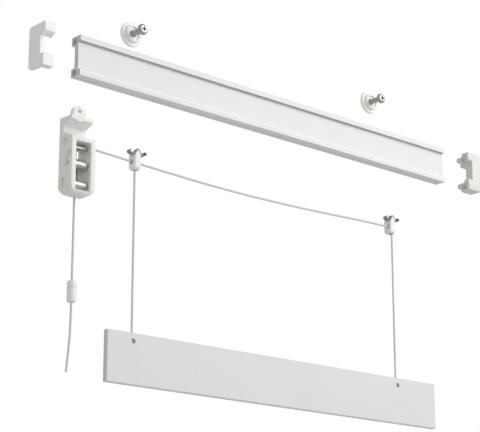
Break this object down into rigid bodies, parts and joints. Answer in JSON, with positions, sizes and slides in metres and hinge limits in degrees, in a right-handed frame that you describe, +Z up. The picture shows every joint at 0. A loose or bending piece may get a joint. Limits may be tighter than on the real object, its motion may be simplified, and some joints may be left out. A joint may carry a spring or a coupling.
{
  "type": "blind rail",
  "caption": "Pleated blind rail kit: extruded rail with end caps, wall discs and screws, cord lock, cord carriers, lift cords, pull cord and bottom bar, laid out apart.",
  "frame": {"origin": "middle of the rail's length and height, on the plane of its rear channel's mouth", "axes": "+X along the rail, +Y towards the wall, +Z up"},
  "size_m": [0.398, 0.0257, 0.2409],
  "materials": {
    "rail_coat": "extruded aluminium, satin white powder coat",
    "bar_coat": "flat aluminium bar, satin white powder coat",
    "cap_plastic": "moulded white plastic",
    "disc_plastic": "moulded light grey plastic",
    "lock_plastic": "moulded white plastic",
    "carrier_plastic": "moulded white plastic",
    "connector_plastic": "moulded light grey plastic",
    "screw_steel": "zinc-plated steel",
    "pin_steel": "drawn steel wire",
    "roller_steel": "turned steel",
    "spring_steel": "bent spring steel strip",
    "cord": "braided polyester cord"
  },
  "bodies": {
    "root": {"rail": "rail_coat", "left_wall_disc": "disc_plastic", "right_wall_disc": "disc_plastic", "lock_housing": "lock_plastic", "lock_guide_pin": "pin_steel", "lower_roller_pin": "pin_steel", "left_carrier_body": "carrier_plastic", "left_carrier_spring": "spring_steel", "right_carrier_body": "carrier_plastic", "right_carrier_spring": "spring_steel", "lock_cord": "cord", "span_cord": "cord", "left_lift_cord": "cord", "right_lift_cord": "cord", "pull_cord": "cord"},
    "left_cap": {"left_end_cap": "cap_plastic"},
    "right_cap": {"right_end_cap": "cap_plastic"},
    "left_screw": {"left_fixing_screw": "screw_steel"},
    "right_screw": {"right_fixing_screw": "screw_steel"},
    "locking_pin": {"locking_roller_pin": "pin_steel"},
    "locking_roller": {"locking_roller": "roller_steel"},
    "lower_roller": {"lower_roller": "roller_steel"},
    "lift_bar": {"bottom_bar": "bar_coat", "left_cord_knot": "cord", "right_cord_knot": "cord"},
    "pull_end": {"connector_upper": "connector_plastic", "connector_lower": "connector_plastic", "connector_knot": "cord", "tail_cord": "cord"}
  },
  "joints": [
    {"name": "left_cap_push", "type": "slide", "parent": "root", "child": "left_cap", "axis": [1, 0, 0], "range_m": [0, 0.025]},
    {"name": "right_cap_push", "type": "slide", "parent": "root", "child": "right_cap", "axis": [-1, 0, 0], "range_m": [0, 0.0283]},
    {"name": "left_screw_drive", "type": "slide", "parent": "root", "child": "left_screw", "axis": [0, 1, 0], "range_m": [0, 0.0087]},
    {"name": "right_screw_drive", "type": "slide", "parent": "root", "child": "right_screw", "axis": [0, 1, 0], "range_m": [0, 0.0087]},
    {"name": "locking_pin_slide", "type": "slide", "parent": "root", "child": "locking_pin", "axis": [0, -0.4027, 0.9153], "range_m": [0, 0.0054]},
    {"name": "locking_roller_turn", "type": "hinge", "parent": "locking_pin", "child": "locking_roller", "pos_m": [-0.165, -0.0087, -0.0696], "axis": [1, 0, 0], "continuous": true},
    {"name": "lower_roller_turn", "type": "hinge", "parent": "root", "child": "lower_roller", "pos_m": [-0.165, -0.0087, -0.0822], "axis": [1, 0, 0], "continuous": true},
    {"name": "bar_lift", "type": "slide", "parent": "root", "child": "lift_bar", "axis": [0, 0, 1], "range_m": [0, 0.085], "deforming": ["left_lift_cord", "right_lift_cord"]},
    {"name": "pull_travel", "type": "slide", "parent": "root", "child": "pull_end", "axis": [0, 0, -1], "range_m": [0, 0.085], "deforming": ["pull_cord"]}
  ],
  "couplings": [
    {"joint": "pull_travel", "follows": "bar_lift", "ratio": 1}
  ]
}
